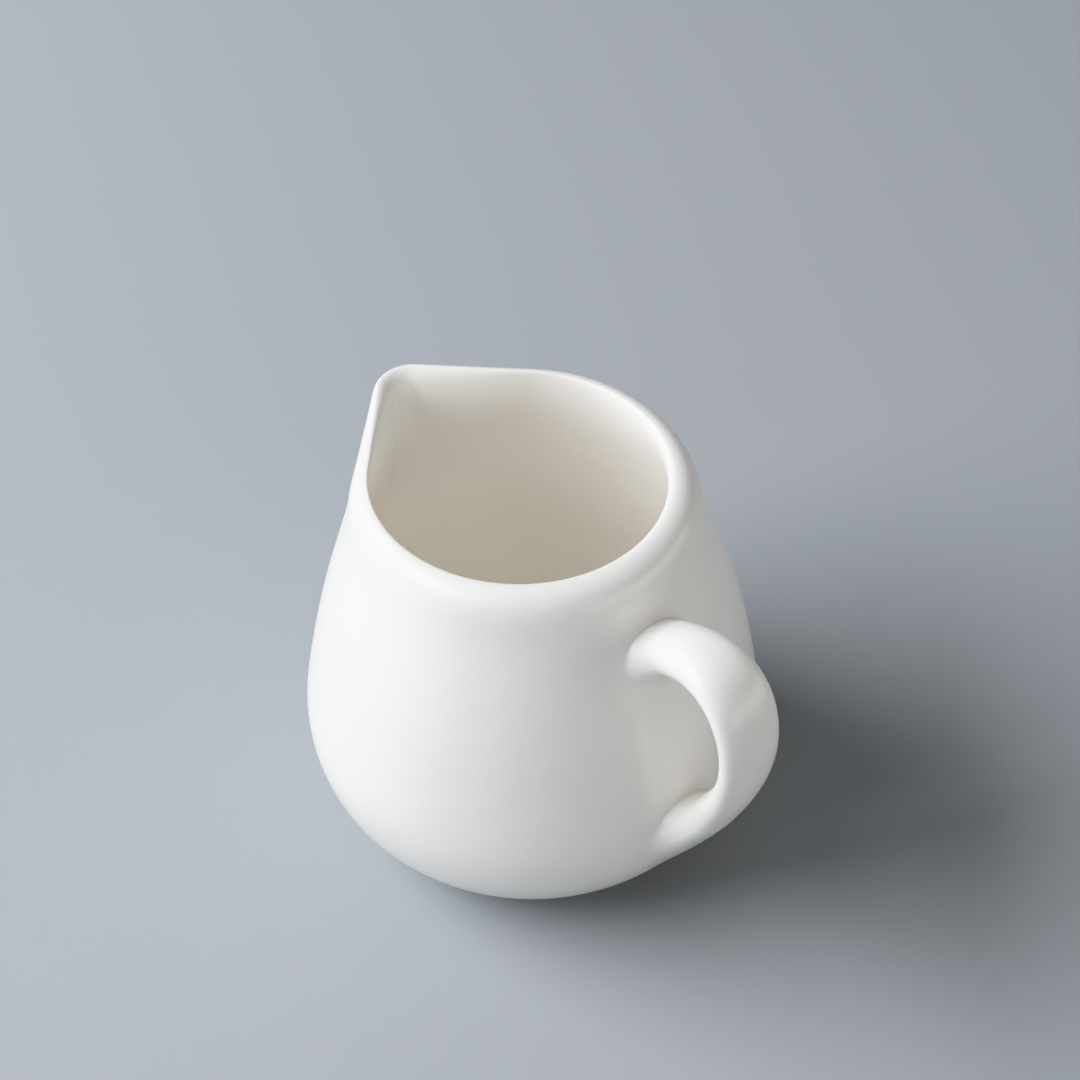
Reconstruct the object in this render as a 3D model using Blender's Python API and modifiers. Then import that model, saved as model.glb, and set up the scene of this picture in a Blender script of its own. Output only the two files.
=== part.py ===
"""A small porcelain cream jug: a pear-shaped body with a pinched spout and an ear-shaped handle.

Lengths are in metres, +Z is up, the handle points to +X and the spout to -X. The jug is built
around its own upright axis, and then an empty carries it so that the origin is under the middle
of its outline, on the surface that it stands on.
"""

import math

import bmesh
import bpy
import numpy as np
from mathutils import Vector

MM = 0.001

# Body. An outline point is (radius, height) in millimetres, and each outline is a smooth curve.
BASE_HEIGHT = 1.8
OUTER_OUTLINE = [
    (24.9, BASE_HEIGHT), (28.7, 4.1), (33.3, 8.7), (36.0, 14.2), (37.3, 21.3), (36.4, 30.5),
    (34.0, 42.6), (30.6, 54.8), (28.15, 63.4),
]
INNER_OUTLINE = [
    (23.6, 64.4), (26.8, 55.0), (30.3, 43.0), (32.7, 31.5), (33.6, 23.8), (32.2, 17.8),
    (28.5, 12.9), (22.0, 9.2), (13.0, 7.6), (0.0, 7.2),
]
UNDERSIDE = [(0.0, 3.3), (12.0, 3.2), (17.4, 3.0), (18.6, BASE_HEIGHT)]
HEIGHT = 69.8

# Lip. Its crest is a circle of LIP_RADIUS. A pair is (outwards from the crest, inwards from it).
LIP_RADIUS = 24.0
LIP_HALF_WIDTH = (3.3, 0.8)
LIP_DEPTH = (4.0, 2.0)
LIP_START = math.radians(33)

# Spout. It starts as a swelling low on the wall and is a teardrop at the rim, where the whole
# mouth leans out after it. A pair is (outside of the wall, inside of the wall), at the rim.
SPOUT_START = 15.2
SPOUT_POWER = (1.8, 3.4)
SPOUT_REACH = (36.0, 33.3)
TIP_RADIUS = (7.4, 3.3)
MOUTH_SHIFT = (1.8, 3.3)
MOUTH_SHIFT_POWER = 3.0
TIP_LIFT = 0.2
TIP_LIFT_STEEPNESS = 8
TIP_LIFT_NARROWNESS = 6

# Handle. Its middle line is (distance from the jug's axis, height), from the upper root down.
HANDLE_LINE = [
    (33.2, 59.2), (38.0, 61.2), (42.6, 61.3), (46.2, 59.3), (48.6, 55.6), (49.7, 50.0),
    (49.2, 44.3), (47.0, 37.4), (43.5, 30.4),
]
HANDLE_HALF_THICKNESS = [3.7, 3.15, 2.6, 2.35, 2.4, 2.65, 3.0]
HANDLE_HALF_WIDTH = [4.8, 5.4, 5.8, 5.7, 5.4, 4.9, 4.5]
HANDLE_SQUARENESS = 2.3

# Slip joints, where the handle is stuck on. Each is an oval on the wall that draws in to the handle.
UPPER_JOINT = {"height": 55.0, "half_height": 5.6, "half_width": 6.9}
LOWER_JOINT = {"height": 18.5, "half_height": 9.7, "half_width": 8.8}

# Foot ring, left unglazed, under the base.
FOOT_OUTER_RADIUS = 23.6
FOOT_INNER_RADIUS = 19.6
FOOT_HEIGHT = 1.5
FOOT_EDGE_ROUNDING = 0.5

CLEARANCE = 0.3
WALL_CLEARANCE = 0.45

# How finely the surfaces are divided. Ring points crowd towards the spout's tip.
RING_POINTS = 64
RING_CROWDING = 0.55
OUTER_ROWS = 17
LIP_ROWS = 9
INNER_ROWS = 15
HANDLE_POINTS = 20
HANDLE_ROWS = 33
JOINT_ROWS = 6
JOINT_WALL_SCALES = (0.75, 0.5, 0.25)
SHARP_ANGLE = math.radians(35)

GLAZED = (0.86, 0.85, 0.82)
GLAZED_ROUGHNESS = 0.12
BARE = (0.78, 0.75, 0.70)
BARE_ROUGHNESS = 0.75


def clear_scene():
    for obj in list(bpy.data.objects):
        bpy.data.objects.remove(obj, do_unlink=True)


def collection_named(name):
    collection = bpy.data.collections.new(name)
    bpy.context.scene.collection.children.link(collection)
    return collection


def principled(name, colour, roughness):
    material = bpy.data.materials.new(name)
    material.use_nodes = True
    shader = material.node_tree.nodes["Principled BSDF"]
    shader.inputs["Base Color"].default_value = (*colour, 1.0)
    shader.inputs["Roughness"].default_value = roughness
    shader.inputs["Metallic"].default_value = 0.0
    material.diffuse_color = (*colour, 1.0)
    return material


def spline(points, count):
    """`count` points along the natural cubic curve through `points`, end to end."""
    points = np.asarray(points, float).reshape(len(points), -1)
    chords = np.ones(len(points) - 1)
    if points.shape[1] > 1:
        chords = np.linalg.norm(np.diff(points, axis=0), axis=1)
    matrix = np.eye(len(points))
    right = np.zeros_like(points)
    for i in range(1, len(points) - 1):
        before, after = chords[i - 1], chords[i]
        matrix[i, i - 1 : i + 2] = before, 2 * (before + after), after
        right[i] = 6 * ((points[i + 1] - points[i]) / after - (points[i] - points[i - 1]) / before)
    bends = np.linalg.solve(matrix, right)
    places = np.concatenate([[0.0], np.cumsum(chords)])
    curve = []
    for place in np.linspace(0.0, places[-1], count):
        i = min(int(np.searchsorted(places, place, side="right")) - 1, len(chords) - 1)
        b = (place - places[i]) / chords[i]
        a = 1 - b
        bend = (a**3 - a) * bends[i] + (b**3 - b) * bends[i + 1]
        curve.append(a * points[i] + b * points[i + 1] + bend * chords[i] ** 2 / 6)
    return np.array(curve)


def mesh_object(name, bm, collection, material, parent):
    """Makes an object of `bm`, whose points are in millimetres, and hangs it on the jug's empty."""
    bmesh.ops.scale(bm, vec=(MM, MM, MM), verts=bm.verts)
    bmesh.ops.recalc_face_normals(bm, faces=bm.faces)
    mesh = bpy.data.meshes.new(name)
    bm.to_mesh(mesh)
    bm.free()
    mesh.shade_smooth()
    mesh.set_sharp_from_angle(angle=SHARP_ANGLE)
    mesh.materials.append(material)
    obj = bpy.data.objects.new(name, mesh)
    collection.objects.link(obj)
    obj.parent = parent
    return obj


def loft(rings, first_point=None, last_point=None):
    """A bmesh skinned over closed rings of equally many points, closed at each end.

    An end closes on the point given for it, or on a flat face where there is none.
    """
    bm = bmesh.new()
    rows = [[bm.verts.new(point) for point in ring] for ring in rings]
    for row, after in zip(rows, rows[1:]):
        for i in range(len(row)):
            j = (i + 1) % len(row)
            bm.faces.new((row[i], row[j], after[j], after[i]))
    for row, point in ((rows[0], first_point), (rows[-1], last_point)):
        if point is None:
            bm.faces.new(row)
            continue
        middle = bm.verts.new(point)
        for i in range(len(row)):
            bm.faces.new((row[i], row[(i + 1) % len(row)], middle))
    return bm


def teardrop(angle, radius, tip_radius, tip_distance):
    """Distance from the middle of a circle to the outline drawn tight round it and a smaller one."""
    if tip_distance + tip_radius <= radius:
        return radius
    flank = math.acos((radius - tip_radius) / tip_distance)
    tip_end = math.atan2(
        tip_radius * math.sin(flank), tip_distance + tip_radius * math.cos(flank)
    )
    turn = abs(angle)
    if turn >= flank:
        return radius
    if turn >= tip_end:
        return radius / math.cos(flank - turn)
    across = tip_distance * math.sin(turn)
    return tip_distance * math.cos(turn) + math.sqrt(tip_radius**2 - across**2)


def spout_rise(height):
    return min(max((height - SPOUT_START) / (HEIGHT - SPOUT_START), 0.0), 1.0)


def between(pair, side):
    """Mixes a pair's two values. `side` is 1 on the outside of the wall and -1 on the inside."""
    return (pair[0] * (1 + side) + pair[1] * (1 - side)) / 2


def lip_radius(side):
    """The lip's radius where its surface is `side` of the way from the crest to its outer edge."""
    return LIP_RADIUS + side * LIP_HALF_WIDTH[0 if side > 0 else 1]


def mouth_shift(height, side):
    return between(MOUTH_SHIFT, side) * spout_rise(height) ** MOUTH_SHIFT_POWER


def body_ring(radius, height, side):
    """One level ring of the body."""
    rise = spout_rise(height)
    shift = mouth_shift(height, side)
    tip_radius = radius + (between(TIP_RADIUS, side) - radius) * rise
    pull = between(SPOUT_REACH, side) - lip_radius(side)
    reach = radius + pull * rise ** between(SPOUT_POWER, side)
    ring = []
    for i in range(RING_POINTS):
        turn = math.pi * (2 * i / RING_POINTS - 1)
        angle = turn - RING_CROWDING * math.sin(turn)
        out = teardrop(angle, radius, tip_radius, reach - tip_radius - shift)
        at_tip = max(math.cos(angle), 0.0) ** TIP_LIFT_NARROWNESS
        lift = TIP_LIFT * rise**TIP_LIFT_STEEPNESS * at_tip
        ring.append((-shift - out * math.cos(angle), out * math.sin(angle), height + lift))
    return ring


def lip_section(count):
    """(radius, height, side) over the rounded lip, which falls away more softly on the outside."""
    places = []
    for turn in np.linspace(LIP_START, math.pi, count):
        side = math.cos(turn)
        depth = LIP_DEPTH[0] if side > 0 else LIP_DEPTH[1]
        height = HEIGHT - depth * (1 - math.sin(turn))
        places.append((lip_radius(side), height, side))
    return places


def body_section():
    """(radius, height, side) from the underside, up the outside, over the lip and down the inside."""
    section = [(r, h, 1) for r, h in UNDERSIDE[1:]]
    section += [(r, h, 1) for r, h in spline(OUTER_OUTLINE, OUTER_ROWS)]
    section += lip_section(LIP_ROWS)
    section += [(r, h, -1) for r, h in spline(INNER_OUTLINE, INNER_ROWS)[:-1]]
    return section


def jug_body(collection, parent):
    rings = [body_ring(*place) for place in body_section()]
    under = (0.0, 0.0, UNDERSIDE[0][1])
    floor = (0.0, 0.0, INNER_OUTLINE[-1][1])
    glaze = principled("body_glaze", GLAZED, GLAZED_ROUGHNESS)
    return mesh_object("jug_body", loft(rings, under, floor), collection, glaze, parent)


def foot_ring(collection, parent):
    """The ring is a profile turned about the axis by a Screw, with its standing edges rounded."""
    profile = bpy.data.meshes.new("foot_ring")
    corners = [
        (FOOT_OUTER_RADIUS, FOOT_HEIGHT),
        (FOOT_OUTER_RADIUS, FOOT_EDGE_ROUNDING),
        (FOOT_OUTER_RADIUS - FOOT_EDGE_ROUNDING, 0.0),
        (FOOT_INNER_RADIUS + FOOT_EDGE_ROUNDING, 0.0),
        (FOOT_INNER_RADIUS, FOOT_EDGE_ROUNDING),
        (FOOT_INNER_RADIUS, FOOT_HEIGHT),
    ]
    edges = [(i, (i + 1) % len(corners)) for i in range(len(corners))]
    profile.from_pydata([(r * MM, 0.0, h * MM) for r, h in corners], edges, [])
    ring = bpy.data.objects.new("foot_ring", profile)
    collection.objects.link(ring)
    ring.parent = parent
    ring.data.materials.append(principled("bare_porcelain", BARE, BARE_ROUGHNESS))
    screw = ring.modifiers.new("turned", "SCREW")
    screw.axis = "Z"
    screw.steps = RING_POINTS
    screw.render_steps = RING_POINTS
    screw.use_merge_vertices = True
    screw.merge_threshold = 0.00001
    return ring


def handle_frames(count):
    """(centre, direction, outward, half thickness, half width) along the handle's middle line."""
    line = spline(HANDLE_LINE, count)
    thickness = spline(HANDLE_HALF_THICKNESS, count)[:, 0]
    width = spline(HANDLE_HALF_WIDTH, count)[:, 0]
    steps = np.gradient(line, axis=0)
    frames = []
    for (x, z), (dx, dz), half_thickness, half_width in zip(line, steps, thickness, width):
        along = Vector((dx, 0.0, dz)).normalized()
        outward = Vector((-along.z, 0.0, along.x))
        frames.append((Vector((x, 0.0, z)), along, outward, half_thickness, half_width))
    return frames


def rounded(value):
    """Pushes a sine or a cosine out towards a softly squared oval."""
    return math.copysign(abs(value) ** (2 / HANDLE_SQUARENESS), value)


def handle_ring(frame, slide=0.0):
    """The handle's oval section. `slide` moves it along the handle's middle line."""
    centre, along, outward, half_thickness, half_width = frame
    ring = []
    for i in range(HANDLE_POINTS):
        turn = 2 * math.pi * i / HANDLE_POINTS
        out = outward * (half_thickness * rounded(math.cos(turn)))
        across = Vector((0.0, half_width * rounded(math.sin(turn)), 0.0))
        ring.append(centre + along * slide + out + across)
    return ring


def handle(collection, parent):
    bm = loft([handle_ring(frame) for frame in handle_frames(HANDLE_ROWS)])
    glaze = principled("handle_glaze", GLAZED, GLAZED_ROUGHNESS)
    return mesh_object("handle", bm, collection, glaze, parent)


def wall_point(across, height, outline):
    """A point just clear of the body's outer wall on the handle's side."""
    radius = float(np.interp(height, outline[:, 1], outline[:, 0])) + WALL_CLEARANCE
    reach = math.sqrt(radius**2 - across**2)
    return Vector((reach - mouth_shift(height, 1), across, height))


def slip_joint(name, joint, frame, towards_wall, up, collection, parent):
    """A collar of slip from an oval on the wall, drawn in to the end of the handle.

    `towards_wall` is 1 or -1 along the handle's middle line, and `up` is 1 where the outer side
    of the handle meets the wall at the top of the oval.
    """
    outline = spline(OUTER_OUTLINE, 60)

    def on_wall(turn, scale):
        across = joint["half_width"] * math.sin(turn) * scale
        height = joint["height"] + up * joint["half_height"] * math.cos(turn) * scale
        return wall_point(across, height, outline)

    turns = [2 * math.pi * i / HANDLE_POINTS for i in range(HANDLE_POINTS)]
    near = handle_ring(frame, towards_wall * CLEARANCE)
    inward = frame[1] * towards_wall
    rings = []
    for row in range(JOINT_ROWS + 1):
        u = row / JOINT_ROWS
        ring = []
        for turn, start in zip(turns, near):
            end = on_wall(turn, 1.0)
            length = (end - start).length
            leave = inward * length
            arrive = (end - on_wall(turn, 0.9)).normalized() * length
            ring.append(
                start * (2 * u**3 - 3 * u**2 + 1)
                + leave * (u**3 - 2 * u**2 + u)
                + end * (3 * u**2 - 2 * u**3)
                + arrive * (u**3 - u**2)
            )
        rings.append(ring)
    for scale in JOINT_WALL_SCALES:
        rings.append([on_wall(turn, scale) for turn in turns])
    bm = loft(rings, None, on_wall(0.0, 0.0))
    glaze = principled(name + "_glaze", GLAZED, GLAZED_ROUGHNESS)
    return mesh_object(name, bm, collection, glaze, parent)


def build():
    clear_scene()
    parts = collection_named("cream_jug")
    carrier = bpy.data.objects.new("jug_axis", None)
    parts.objects.link(carrier)
    frames = handle_frames(HANDLE_ROWS)
    handle_reach = max(centre.x + outward.x * half for centre, _, outward, half, _ in frames)
    spout_reach = max(-x for place in body_section() for x, _, _ in body_ring(*place))
    carrier.location.x = (spout_reach - handle_reach) / 2 * MM
    jug_body(parts, carrier)
    foot_ring(parts, carrier)
    handle(parts, carrier)
    slip_joint("upper_handle_joint", UPPER_JOINT, frames[0], -1, 1, parts, carrier)
    slip_joint("lower_handle_joint", LOWER_JOINT, frames[-1], 1, -1, parts, carrier)


build()
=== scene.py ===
"""A small white porcelain cream jug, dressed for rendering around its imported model.

The jug's shapes are worked out in millimetres round its own upright axis, and `piece` turns them
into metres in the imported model's frame. The handle points to +X, the spout to -X, and z is 0 on
the surface that the jug stands on. Materials, lights and the camera are in metres.
"""

import math

import bmesh
import bpy
import numpy as np
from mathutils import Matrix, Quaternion, Vector


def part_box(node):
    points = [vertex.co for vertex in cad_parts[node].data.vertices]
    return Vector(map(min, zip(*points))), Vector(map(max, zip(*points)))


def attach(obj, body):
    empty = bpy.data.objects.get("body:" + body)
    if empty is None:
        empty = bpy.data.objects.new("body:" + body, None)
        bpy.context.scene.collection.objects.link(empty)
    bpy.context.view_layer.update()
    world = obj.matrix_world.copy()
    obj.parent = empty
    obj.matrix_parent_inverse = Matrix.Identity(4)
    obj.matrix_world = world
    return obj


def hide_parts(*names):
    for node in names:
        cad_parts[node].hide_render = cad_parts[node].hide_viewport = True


MM = 0.001

# Body: the outlines and the underside are (radius, height).
BASE_HEIGHT = 1.8
OUTER_OUTLINE = [
    (24.9, BASE_HEIGHT), (28.7, 4.1), (33.3, 8.7), (36.0, 14.2), (37.3, 21.3), (36.4, 30.5),
    (34.0, 42.6), (30.6, 54.8), (28.15, 63.4),
]
INNER_OUTLINE = [
    (23.6, 64.4), (26.8, 55.0), (30.3, 43.0), (32.7, 31.5), (33.6, 23.8), (32.2, 17.8),
    (28.5, 12.9), (22.0, 9.2), (13.0, 7.6), (0.0, 7.2),
]
UNDERSIDE = [(0.0, 3.3), (12.0, 3.2), (17.4, 3.0), (18.6, BASE_HEIGHT)]
HEIGHT = 69.8

# Lip. Its crest is a circle of LIP_RADIUS. A pair is (outwards from the crest, inwards from it).
LIP_RADIUS = 24.0
LIP_HALF_WIDTH = (3.3, 0.8)
LIP_DEPTH = (4.0, 2.0)
LIP_START = math.radians(33)

# Spout and mouth: a pair is (outside of the wall, inside of the wall), at the rim.
SPOUT_START = 15.2
SPOUT_POWER = (1.8, 3.4)
SPOUT_REACH = (36.0, 33.3)
TIP_RADIUS = (7.4, 3.3)
MOUTH_SHIFT = (1.8, 3.3)
MOUTH_SHIFT_POWER = 3.0
TIP_LIFT = 0.2
TIP_LIFT_STEEPNESS = 8
TIP_LIFT_NARROWNESS = 6

# Handle: its middle line is (distance from the axis, height), from the upper root down.
HANDLE_LINE = [
    (33.2, 59.2), (38.0, 61.2), (42.6, 61.3), (46.2, 59.3), (48.6, 55.6), (49.7, 50.0),
    (49.2, 44.3), (47.0, 37.4), (43.5, 30.4),
]
HANDLE_HALF_THICKNESS = [3.7, 3.15, 2.6, 2.35, 2.4, 2.65, 3.0]
HANDLE_HALF_WIDTH = [4.8, 5.4, 5.8, 5.7, 5.4, 4.9, 4.5]
HANDLE_SQUARENESS = 2.3

# Handle roots: each is an oval on the wall that is drawn in to the handle by a smooth fillet. The
# fillet's ends pull on it in proportion to its length, along the handle and along the wall.
UPPER_JOINT = {"height": 55.0, "half_height": 5.6, "half_width": 6.9}
LOWER_JOINT = {"height": 18.5, "half_height": 9.7, "half_width": 8.8}
ROOT_PULL_AT_HANDLE = 1.25
ROOT_PULL_AT_WALL = 0.65
UNDERSIDE_LESS_AT_HANDLE = 0.65
UNDERSIDE_MORE_AT_WALL = 0.35
ROOT_SINK = 0.02

# Foot ring.
FOOT_SECTION = [
    (24.4, 2.1), (23.95, 1.5), (23.65, 0.9), (23.5, 0.45), (23.2, 0.12), (22.8, 0.0),
    (20.4, 0.0), (20.0, 0.12), (19.7, 0.45), (19.5, 0.9), (19.2, 1.5), (18.8, 2.1),
]

# How finely the surfaces are divided. Ring points crowd towards the spout's tip.
RING_POINTS = 240
RING_CROWDING = 0.55
LIP_STOPS = 9
WALL_ROWS = 80
LIP_ROWS = 26
HANDLE_POINTS = 96
HANDLE_ROWS = 170
ROOT_ROWS = 28
SHARP_ANGLE = math.radians(50)

# Studio. The lights are placed in the camera's own frame, which is turned about z from the jug's:
# x is to the camera's right and y away from it. Each is (name, place, size, watts, colour).
VIEW_AZIMUTH = math.radians(49.0)
LIGHT_AIM = (0.0, 0.0, 0.03)
LIGHTS = [
    ("key", (-0.90, 0.0, 0.70), (1.2, 0.75), 20.5, (0.96, 0.985, 1.04)),
    ("front_fill", (-0.20, -1.50, 1.10), (2.0, 1.2), 3.8, (0.97, 0.985, 1.03)),
    ("right_fill", (1.10, -0.30, 0.24), (1.8, 0.44), 4.6, (1.0, 0.98, 0.96)),
    ("top_fill", (0.0, 0.0, 1.6), (1.6, 1.6), 3.2, (1.0, 0.99, 0.97)),
    ("back_fill", (0.30, 1.30, 1.00), (1.6, 1.0), 1.8, (0.94, 0.97, 1.05)),
]
AMBIENT = (0.85, 0.90, 1.0)
AMBIENT_STRENGTH = 0.02
SURROUND = (0.42, 0.45, 0.48)
FLOOR_COLOUR = (0.395, 0.415, 0.43)
FLOOR_HALF_SIZE = 4.0
FLOOR_FADE_START = 0.32
FLOOR_FADE_END = 0.85

# The film's response, as (light, how bright it is shown), both 1 at plain white.
BRIGHTEST = 2.0
FILM_RESPONSE = [
    (0.0, 0.0), (0.10, 0.063), (0.16, 0.118), (0.22, 0.185), (0.30, 0.28), (0.40, 0.40),
    (0.68, 0.68), (0.77, 0.74), (0.865, 0.805), (0.96, 0.862), (1.06, 0.905), (1.16, 0.93),
    (1.4, 0.955), (2.0, 0.97),
]

# Camera: x of its place and of its aim is measured from the jug's axis.
CAMERA_PLACE = (0.25075, -0.21791, 0.39012)
CAMERA_AIM = (0.00082, 0.00093, 0.05744)
SENSOR_WIDTH = 36.0
FOCAL_LENGTH = 99.28


def spline(points):
    """The natural cubic curve through `points`, as (a function of the place, the points' places)."""
    points = np.asarray(points, float).reshape(len(points), -1)
    chords = np.ones(len(points) - 1)
    if points.shape[1] > 1:
        chords = np.linalg.norm(np.diff(points, axis=0), axis=1)
    matrix = np.eye(len(points))
    right = np.zeros_like(points)
    for i in range(1, len(points) - 1):
        before, after = chords[i - 1], chords[i]
        matrix[i, i - 1 : i + 2] = before, 2 * (before + after), after
        right[i] = 6 * ((points[i + 1] - points[i]) / after - (points[i] - points[i - 1]) / before)
    bends = np.linalg.solve(matrix, right)
    places = np.concatenate([[0.0], np.cumsum(chords)])

    def at(place):
        i = min(max(int(np.searchsorted(places, place, side="right")) - 1, 0), len(chords) - 1)
        b = (place - places[i]) / chords[i]
        a = 1 - b
        bend = (a**3 - a) * bends[i] + (b**3 - b) * bends[i + 1]
        return a * points[i] + b * points[i + 1] + bend * chords[i] ** 2 / 6

    return at, places


def along(points, count):
    """`count` points along the natural cubic curve through `points`, end to end."""
    at, places = spline(points)
    return np.array([at(place) for place in np.linspace(0.0, places[-1], count)])


def teardrop(angle, radius, tip_radius, tip_distance):
    """Distance from the middle of a circle to the outline drawn tight round it and a smaller one."""
    if tip_distance + tip_radius <= radius:
        return radius
    flank = math.acos((radius - tip_radius) / tip_distance)
    tip_end = math.atan2(
        tip_radius * math.sin(flank), tip_distance + tip_radius * math.cos(flank)
    )
    turn = abs(angle)
    if turn >= flank:
        return radius
    if turn >= tip_end:
        return radius / math.cos(flank - turn)
    across = tip_distance * math.sin(turn)
    return tip_distance * math.cos(turn) + math.sqrt(tip_radius**2 - across**2)


def between(pair, side):
    """Mixes a pair's two values. `side` is 1 on the outside of the wall and -1 on the inside."""
    return (pair[0] * (1 + side) + pair[1] * (1 - side)) / 2


def spout_rise(height):
    return min(max((height - SPOUT_START) / (HEIGHT - SPOUT_START), 0.0), 1.0)


def lip_radius(side):
    """The lip's radius where its surface is `side` of the way from the crest to its outer edge."""
    return LIP_RADIUS + side * LIP_HALF_WIDTH[0 if side > 0 else 1]


def mouth_shift(height, side):
    return between(MOUTH_SHIFT, side) * spout_rise(height) ** MOUTH_SHIFT_POWER


def body_ring(radius, height, side):
    """One level ring of the body."""
    rise = spout_rise(height)
    shift = mouth_shift(height, side)
    tip_radius = radius + (between(TIP_RADIUS, side) - radius) * rise
    pull = between(SPOUT_REACH, side) - lip_radius(side)
    reach = radius + pull * rise ** between(SPOUT_POWER, side)
    ring = []
    for i in range(RING_POINTS):
        turn = math.pi * (2 * i / RING_POINTS - 1)
        angle = turn - RING_CROWDING * math.sin(turn)
        out = teardrop(angle, radius, tip_radius, reach - tip_radius - shift)
        at_tip = max(math.cos(angle), 0.0) ** TIP_LIFT_NARROWNESS
        lift = TIP_LIFT * rise**TIP_LIFT_STEEPNESS * at_tip
        ring.append((-shift - out * math.cos(angle), out * math.sin(angle), height + lift))
    return ring


def lip_section(count):
    """(radius, height, side) over the rounded lip, which falls away more softly on the outside."""
    places = []
    for turn in np.linspace(LIP_START, math.pi, count):
        side = math.cos(turn)
        depth = LIP_DEPTH[0] if side > 0 else LIP_DEPTH[1]
        height = HEIGHT - depth * (1 - math.sin(turn))
        places.append((lip_radius(side), height, side))
    return places


def body_section():
    """(radius, height, side) from the underside, up the outside, over the lip and down the inside."""
    lip = lip_section(LIP_STOPS)
    wall = [(r, h, 1.0) for r, h in OUTER_OUTLINE] + lip + [(r, h, -1.0) for r, h in INNER_OUTLINE]
    at, places = spline(wall)
    start, end = len(OUTER_OUTLINE), len(OUTER_OUTLINE) + len(lip) - 1
    stops = np.concatenate([
        np.linspace(0.0, places[start], WALL_ROWS, endpoint=False),
        np.linspace(places[start], places[end], LIP_ROWS, endpoint=False),
        np.linspace(places[end], places[-1], WALL_ROWS)[:-1],
    ])
    section = [(r, h, 1.0) for r, h in UNDERSIDE[1:]]
    for place in stops:
        radius, height, side = at(place)
        section.append((max(radius, 0.01), min(height, HEIGHT), min(max(side, -1.0), 1.0)))
    return section


def handle_frames(count):
    """(centre, direction, outward, half thickness, half width) along the handle's middle line."""
    line = along(HANDLE_LINE, count)
    thickness = along(HANDLE_HALF_THICKNESS, count)[:, 0]
    width = along(HANDLE_HALF_WIDTH, count)[:, 0]
    steps = np.gradient(line, axis=0)
    frames = []
    for (x, z), (dx, dz), half_thickness, half_width in zip(line, steps, thickness, width):
        forward = Vector((dx, 0.0, dz)).normalized()
        outward = Vector((-forward.z, 0.0, forward.x))
        frames.append((Vector((x, 0.0, z)), forward, outward, half_thickness, half_width))
    return frames


def rounded(value):
    """Pushes a sine or a cosine out towards a softly squared oval."""
    return math.copysign(abs(value) ** (2 / HANDLE_SQUARENESS), value)


def handle_ring(frame, slide=0.0, shrink=0.0):
    """The handle's section, moved `slide` along its middle line and taken in by `shrink`."""
    centre, forward, outward, half_thickness, half_width = frame
    ring = []
    for i in range(HANDLE_POINTS):
        turn = 2 * math.pi * i / HANDLE_POINTS
        out = outward * ((half_thickness - shrink) * rounded(math.cos(turn)))
        across = Vector((0.0, (half_width - shrink) * rounded(math.sin(turn)), 0.0))
        ring.append(centre + forward * slide + out + across)
    return ring


def outer_outline():
    """(radius, height) up the outside of the wall, from just above the foot."""
    outline = along([(r, h) for r, h, side in body_section() if side == 1.0 and h > 2], 400)
    return outline[np.argsort(outline[:, 1])]


def wall_point(across, height, outline, proud):
    """A point on the body's outer wall on the handle's side, or `proud` of it."""
    radius = float(np.interp(height, outline[:, 1], outline[:, 0])) + proud
    reach = math.sqrt(radius**2 - across**2)
    return Vector((reach - mouth_shift(height, 1), across, height))


def root_rings(joint, frame, towards_wall, up):
    """Rings of a root, from inside the handle over the fillet to an oval sunk in the wall.

    `towards_wall` is 1 or -1 along the handle's middle line, and `up` is 1 where the outer side
    of the handle meets the wall at the top of the oval. The upper root's underside is drawn in
    closer to the wall than the rest.
    """
    outline = outer_outline()

    def on_wall(turn, scale, proud=-ROOT_SINK):
        across = joint["half_width"] * math.sin(turn) * scale
        height = joint["height"] + up * joint["half_height"] * math.cos(turn) * scale
        return wall_point(across, height, outline, proud)

    turns = [2 * math.pi * i / HANDLE_POINTS for i in range(HANDLE_POINTS)]
    inward = frame[1] * towards_wall
    rings = [
        handle_ring(frame, -towards_wall * 1.2, 1.2),
        handle_ring(frame, -towards_wall * 0.8, 0.1),
    ]
    near = handle_ring(frame)
    for row in range(ROOT_ROWS + 1):
        u = row / ROOT_ROWS
        ring = []
        for turn, start in zip(turns, near):
            end = on_wall(turn, 1.0)
            length = (end - start).length
            under = max(-math.cos(turn), 0.0) if up > 0 else 0.0
            pull_at_handle = ROOT_PULL_AT_HANDLE - UNDERSIDE_LESS_AT_HANDLE * under
            pull_at_wall = ROOT_PULL_AT_WALL + UNDERSIDE_MORE_AT_WALL * under
            leave = inward * length * pull_at_handle
            arrive = (end - on_wall(turn, 0.94)).normalized() * length * pull_at_wall
            ring.append(
                start * (2 * u**3 - 3 * u**2 + 1)
                + leave * (u**3 - 2 * u**2 + u)
                + end * (3 * u**2 - 2 * u**3)
                + arrive * (u**3 - u**2)
            )
        rings.append(ring)
    rings.append([on_wall(turn, 1.06, -0.5) for turn in turns])
    rings.append([on_wall(turn, 0.9, -1.4) for turn in turns])
    return rings


def loft(rings, first_point=None, last_point=None):
    """A bmesh skinned over closed rings of equally many points, closed at each end.

    An end closes on the point given for it, or on a flat face where there is none.
    """
    bm = bmesh.new()
    rows = [[bm.verts.new(point) for point in ring] for ring in rings]
    for row, after in zip(rows, rows[1:]):
        for i in range(len(row)):
            j = (i + 1) % len(row)
            bm.faces.new((row[i], row[j], after[j], after[i]))
    for row, point in ((rows[0], first_point), (rows[-1], last_point)):
        if point is None:
            bm.faces.new(row)
            continue
        middle = bm.verts.new(point)
        for i in range(len(row)):
            bm.faces.new((row[i], row[(i + 1) % len(row)], middle))
    return bm


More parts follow.
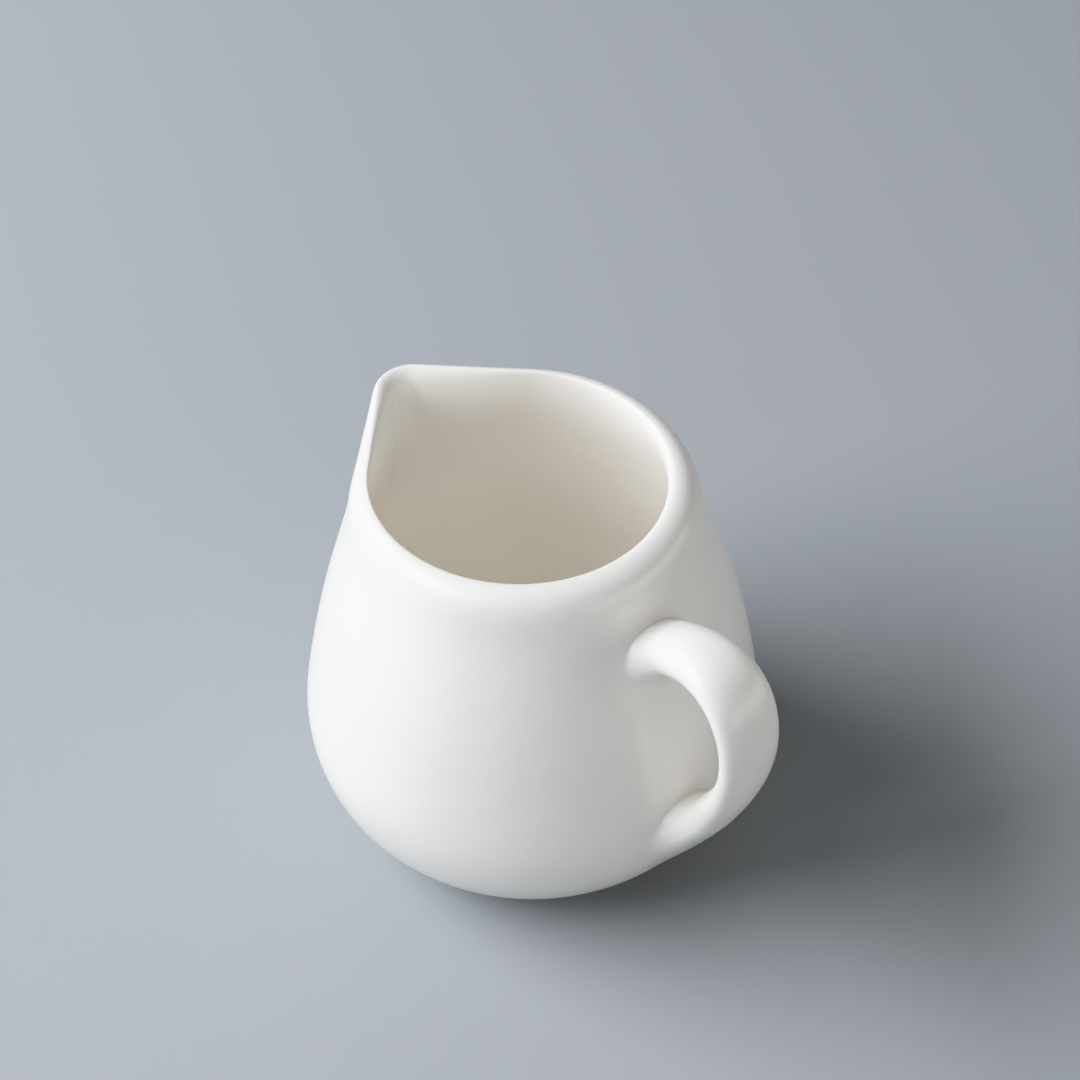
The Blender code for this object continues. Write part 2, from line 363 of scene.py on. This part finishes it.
def piece(name, bm, material, nodes):
    """Makes a visible piece from `bm`, in millimetres round the jug's axis."""
    bmesh.ops.translate(bm, vec=(axis_x / MM, 0.0, 0.0), verts=bm.verts)
    bmesh.ops.scale(bm, vec=(MM, MM, MM), verts=bm.verts)
    bmesh.ops.recalc_face_normals(bm, faces=bm.faces)
    mesh = bpy.data.meshes.new(name)
    bm.to_mesh(mesh)
    bm.free()
    mesh.shade_smooth()
    mesh.set_sharp_from_angle(angle=SHARP_ANGLE)
    mesh.materials.append(material)
    obj = bpy.data.objects.new(name, mesh)
    bpy.context.scene.collection.objects.link(obj)
    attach(obj, "root")
    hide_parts(*nodes)


class Nodes:
    """Short calls for building one material's node tree."""

    def __init__(self, name):
        self.material = bpy.data.materials.new(name)
        self.material.use_nodes = True
        self.tree = self.material.node_tree
        self.shader = self.tree.nodes["Principled BSDF"]
        self.place = self.add("ShaderNodeTexCoord").outputs["Object"]

    def add(self, kind, **values):
        node = self.tree.nodes.new(kind)
        for key, value in values.items():
            if key in node.inputs:
                node.inputs[key].default_value = value
            else:
                setattr(node, key, value)
        return node

    def link(self, output, target):
        self.tree.links.new(output, target)

    def noise(self, size, detail):
        """Noise whose features are about `size` metres across, from 0 to 1."""
        node = self.add("ShaderNodeTexNoise", Scale=1 / size, Detail=detail, Roughness=0.5)
        self.link(self.place, node.inputs["Vector"])
        return node.outputs["Fac"]

    def ramp(self, value, stops):
        node = self.add("ShaderNodeValToRGB")
        elements = node.color_ramp.elements
        while len(elements) < len(stops):
            elements.new(0.5)
        for element, (position, colour) in zip(elements, stops):
            element.position = position
            element.color = (*colour, 1.0)
        self.link(value, node.inputs["Fac"])
        return node.outputs["Color"]

    def spread(self, value, low, high, start=0.0, end=1.0):
        """Maps `value` from the range `start` to `end` onto the range `low` to `high`."""
        node = self.add("ShaderNodeMapRange")
        ranges = {"From Min": start, "From Max": end, "To Min": low, "To Max": high}
        for key, number in ranges.items():
            node.inputs[key].default_value = number
        self.link(value, node.inputs["Value"])
        return node.outputs["Result"]

    def bump(self, height, distance, below=None):
        """A normal for bumps `distance` metres high, on top of the normal `below`."""
        node = self.add("ShaderNodeBump", Strength=1.0, Distance=distance)
        self.link(height, node.inputs["Height"])
        if below is not None:
            self.link(below, node.inputs["Normal"])
        return node.outputs["Normal"]


def glazed(name):
    """White porcelain under a clear glaze: a matt body seen through a glossy, faintly wavy coat."""
    nodes = Nodes(name)
    colour = nodes.ramp(
        nodes.noise(0.03, 3.0), [(0.3, (0.938, 0.914, 0.866)), (0.7, (0.948, 0.925, 0.880))]
    )
    nodes.link(colour, nodes.shader.inputs["Base Color"])
    nodes.link(
        nodes.spread(nodes.noise(0.012, 3.0), 0.30, 0.38), nodes.shader.inputs["Roughness"]
    )
    nodes.shader.inputs["Coat Weight"].default_value = 0.5
    nodes.shader.inputs["Coat Roughness"].default_value = 0.2
    waves = nodes.bump(nodes.noise(0.011, 1.0), 0.00006)
    peel = nodes.bump(nodes.noise(0.0014, 2.0), 0.000004, below=waves)
    nodes.link(peel, nodes.shader.inputs["Normal"])
    nodes.link(waves, nodes.shader.inputs["Coat Normal"])
    return nodes.material


def bare(name):
    """Unglazed porcelain, ground on its standing edge."""
    nodes = Nodes(name)
    colour = nodes.ramp(
        nodes.noise(0.004, 4.0), [(0.3, (0.66, 0.63, 0.57)), (0.75, (0.76, 0.73, 0.68))]
    )
    nodes.link(colour, nodes.shader.inputs["Base Color"])
    nodes.shader.inputs["Roughness"].default_value = 0.8
    grain = nodes.bump(nodes.noise(0.0005, 3.0), 0.00002)
    nodes.link(grain, nodes.shader.inputs["Normal"])
    return nodes.material


def floor_material():
    """A matt pale floor that fades into the surround, so that it has no visible end."""
    nodes = Nodes("pale_floor")
    nodes.shader.inputs["Base Color"].default_value = (*FLOOR_COLOUR, 1.0)
    nodes.shader.inputs["Roughness"].default_value = 0.7
    distance = nodes.add("ShaderNodeVectorMath", operation="LENGTH")
    nodes.link(nodes.place, distance.inputs[0])
    glow = nodes.add("ShaderNodeEmission", Color=(*SURROUND, 1.0))
    mix = nodes.add("ShaderNodeMixShader")
    fade = nodes.spread(distance.outputs["Value"], 0.0, 1.0, FLOOR_FADE_START, FLOOR_FADE_END)
    nodes.link(fade, mix.inputs["Fac"])
    nodes.link(nodes.shader.outputs["BSDF"], mix.inputs[1])
    nodes.link(glow.outputs["Emission"], mix.inputs[2])
    nodes.link(mix.outputs["Shader"], nodes.tree.nodes["Material Output"].inputs["Surface"])
    return nodes.material


def build_body():
    body = loft(
        [body_ring(*place) for place in body_section()],
        (0.0, 0.0, UNDERSIDE[0][1]),
        (0.0, 0.0, INNER_OUTLINE[-1][1]),
    )
    piece("porcelain_body", body, glazed("glazed_body"), ["jug_body"])


def build_foot_ring():
    ring = bmesh.new()
    rows = []
    for i in range(RING_POINTS):
        turn = 2 * math.pi * i / RING_POINTS
        rows.append([
            ring.verts.new((r * math.cos(turn), r * math.sin(turn), h)) for r, h in FOOT_SECTION
        ])
    for row, after in zip(rows, rows[1:] + rows[:1]):
        for i in range(len(row)):
            j = (i + 1) % len(row)
            ring.faces.new((row[i], row[j], after[j], after[i]))
    piece("ground_foot_ring", ring, bare("bare_foot"), ["foot_ring"])


def build_handle():
    """The handle, and at each end the root that joins it to the wall."""
    frames = handle_frames(HANDLE_ROWS)
    rings = [handle_ring(frames[0], -1.6, 1.4), handle_ring(frames[0], -0.9, 0.12)]
    rings += [handle_ring(frame) for frame in frames]
    rings += [handle_ring(frames[-1], 0.9, 0.12), handle_ring(frames[-1], 1.6, 1.4)]
    piece("ear_handle", loft(rings), glazed("glazed_handle"), ["handle"])
    for name, joint, frame, towards_wall, up in (
        ("upper", UPPER_JOINT, frames[0], -1, 1),
        ("lower", LOWER_JOINT, frames[-1], 1, -1),
    ):
        piece(
            name + "_handle_root",
            loft(root_rings(joint, frame, towards_wall, up)),
            glazed("glazed_" + name + "_root"),
            [name + "_handle_joint"],
        )


def area_light(name, place, size, power, colour):
    lamp = bpy.data.lights.new(name, "AREA")
    lamp.shape = "RECTANGLE"
    lamp.size, lamp.size_y = size
    lamp.energy = power
    lamp.color = colour
    obj = bpy.data.objects.new(name, lamp)
    bpy.context.scene.collection.objects.link(obj)
    obj.location = place
    obj.rotation_euler = (Vector(LIGHT_AIM) - place).to_track_quat("-Z", "Y").to_euler()


def build_floor():
    size = FLOOR_HALF_SIZE
    mesh = bpy.data.meshes.new("floor")
    mesh.from_pydata(
        [(-size, -size, 0.0), (size, -size, 0.0), (size, size, 0.0), (-size, size, 0.0)],
        [], [(0, 1, 2, 3)],
    )
    mesh.materials.append(floor_material())
    floor = bpy.data.objects.new("floor", mesh)
    bpy.context.scene.collection.objects.link(floor)


def build_surround():
    """A surround that the camera sees as pale, and that lights the jug only faintly."""
    world = bpy.data.worlds.new("studio")
    bpy.context.scene.world = world
    world.use_nodes = True
    tree = world.node_tree
    ambient = tree.nodes["Background"]
    ambient.inputs["Color"].default_value = (*AMBIENT, 1.0)
    ambient.inputs["Strength"].default_value = AMBIENT_STRENGTH
    backdrop = tree.nodes.new("ShaderNodeBackground")
    backdrop.inputs["Color"].default_value = (*SURROUND, 1.0)
    path = tree.nodes.new("ShaderNodeLightPath")
    mix = tree.nodes.new("ShaderNodeMixShader")
    tree.links.new(path.outputs["Is Camera Ray"], mix.inputs["Fac"])
    tree.links.new(ambient.outputs["Background"], mix.inputs[1])
    tree.links.new(backdrop.outputs["Background"], mix.inputs[2])
    tree.links.new(mix.outputs["Shader"], tree.nodes["World Output"].inputs["Surface"])


def build_lights():
    """A soft key light from the camera's left, and weak fills all round."""
    turned = Quaternion((0, 0, 1), VIEW_AZIMUTH)
    for name, place, size, power, colour in LIGHTS:
        area_light(name, turned @ Vector(place), size, power, colour)
    # The inside of the jug is lit only by light that has bounced many times.
    bpy.context.scene.cycles.diffuse_bounces = 12


def build_film():
    """Darker shadows and softer highlights than a straight response gives."""
    view = bpy.context.scene.view_settings
    view.view_transform = "Standard"
    view.use_curve_mapping = True
    mapping = view.curve_mapping
    mapping.white_level = (BRIGHTEST, BRIGHTEST, BRIGHTEST)
    points = mapping.curves[3].points
    while len(points) < len(FILM_RESPONSE):
        points.new(0.5, 0.5)
    for point, (light, shown) in zip(points, FILM_RESPONSE):
        point.location = (light / BRIGHTEST, shown)
        point.handle_type = "AUTO_CLAMPED"
    mapping.update()


def build_camera():
    lens = bpy.data.cameras.new("camera")
    lens.sensor_width = SENSOR_WIDTH
    lens.lens = FOCAL_LENGTH
    lens.clip_start = 0.01
    camera = bpy.data.objects.new("camera", lens)
    bpy.context.scene.collection.objects.link(camera)
    axis = Vector((axis_x, 0.0, 0.0))
    camera.location = axis + Vector(CAMERA_PLACE)
    aim = axis + Vector(CAMERA_AIM)
    camera.rotation_euler = (aim - camera.location).to_track_quat("-Z", "Y").to_euler()
    bpy.context.scene.camera = camera


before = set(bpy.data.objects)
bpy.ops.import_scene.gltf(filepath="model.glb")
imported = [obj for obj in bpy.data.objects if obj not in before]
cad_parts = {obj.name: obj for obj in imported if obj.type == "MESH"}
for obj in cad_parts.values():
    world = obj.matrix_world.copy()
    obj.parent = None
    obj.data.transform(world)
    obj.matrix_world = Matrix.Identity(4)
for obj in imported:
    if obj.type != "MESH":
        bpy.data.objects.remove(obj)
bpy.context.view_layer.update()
foot_low, foot_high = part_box("foot_ring")
axis_x = (foot_low[0] + foot_high[0]) / 2
build_camera()
build_film()
build_floor()
build_surround()
build_lights()
build_body()
build_foot_ring()
build_handle()
